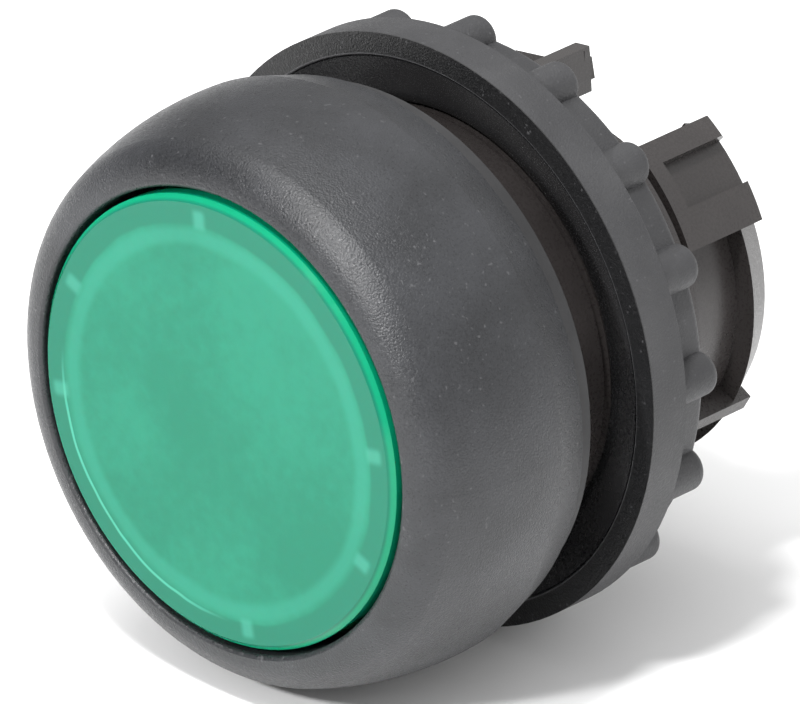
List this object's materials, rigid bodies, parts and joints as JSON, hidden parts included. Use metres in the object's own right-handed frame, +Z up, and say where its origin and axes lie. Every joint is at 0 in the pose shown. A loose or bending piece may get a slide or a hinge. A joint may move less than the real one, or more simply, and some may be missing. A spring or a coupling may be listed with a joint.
{
  "type": "industrial push button",
  "caption": "Round flush illuminated push-button head with a domed black bezel, green lens, threaded neck, gasket and knobbed locking ring for a 22.5 mm panel hole.",
  "frame": {"origin": "on the button's axis, at the plane of the gasket's rear face, where the front face of the panel lies", "axes": "the button faces -Y and is pressed towards +Y, +Z is up, +X is to the right seen from the front"},
  "size_m": [0.03, 0.0284, 0.03],
  "materials": {
    "bezel_black": "fine spark-eroded grain",
    "lens_green": "polished translucent green",
    "opal_white": "opal light-spreading plastic",
    "plunger_plastic": "natural translucent polyamide",
    "body_black": "smooth glass-filled polyamide",
    "ring_black": "lightly grained polyamide",
    "washer_black": "polished",
    "seal_rubber": "smooth elastomer",
    "spring_steel": "drawn wire"
  },
  "bodies": {
    "housing": {"bezel_ring": "bezel_black", "threaded_body": "body_black", "panel_gasket": "seal_rubber", "diaphragm_seal": "seal_rubber", "seal_clamp": "body_black", "spring_retainer": "body_black", "return_spring": "spring_steel"},
    "button": {"lens_cap": "lens_green", "light_diffuser": "opal_white", "plunger": "plunger_plastic", "actuating_ring": "body_black"},
    "washer": {"thrust_washer": "washer_black"},
    "ring": {"locking_ring": "ring_black"}
  },
  "joints": [
    {"name": "button_press", "type": "slide", "parent": "housing", "child": "button", "axis": [0, 1, 0], "range_m": [0, 0.0043], "stiffness_N_per_m": 400, "springref_m": -0.005, "deforming": ["return_spring", "diaphragm_seal"]},
    {"name": "ring_travel", "type": "slide", "parent": "housing", "child": "washer", "axis": [0, 1, 0], "range_m": [-0.0018, 0.015]},
    {"name": "ring_turn", "type": "hinge", "parent": "washer", "child": "ring", "pos_m": [0, 0.0053, 0], "axis": [0, 1, 0], "range_deg": [-432.05, 3600.05]}
  ],
  "couplings": [
    {"joint": "ring_turn", "follows": "ring_travel", "rad_per_m": 4188.8}
  ]
}
